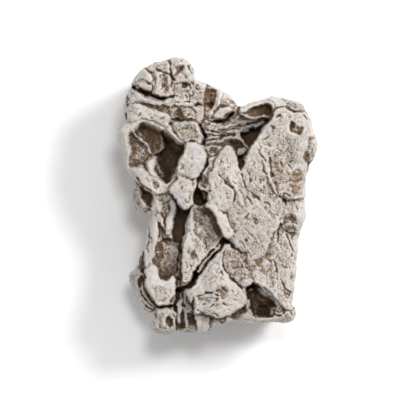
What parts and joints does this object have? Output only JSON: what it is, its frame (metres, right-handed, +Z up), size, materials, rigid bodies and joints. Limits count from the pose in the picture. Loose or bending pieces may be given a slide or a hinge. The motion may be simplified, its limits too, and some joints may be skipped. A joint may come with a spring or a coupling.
{
  "type": "iron meteorite",
  "caption": "Rugged nugget of pale nickel-iron with plates, pits and deep cracks, lying on its broad back as a desk or shelf specimen.",
  "frame": {"origin": "middle of the stone's box in plan, in the plane of the flats that it rests on", "axes": "+Y along the length, from the toes to the head; +X to the right of the detailed face; +Z up, out of the detailed face"},
  "size_m": [0.0402, 0.0556, 0.0226],
  "materials": {
    "meteorite": "pale satin metal, dull tan and brown-black in the hollows"
  },
  "bodies": {
    "root": {"meteorite": "meteorite"}
  },
  "joints": []
}
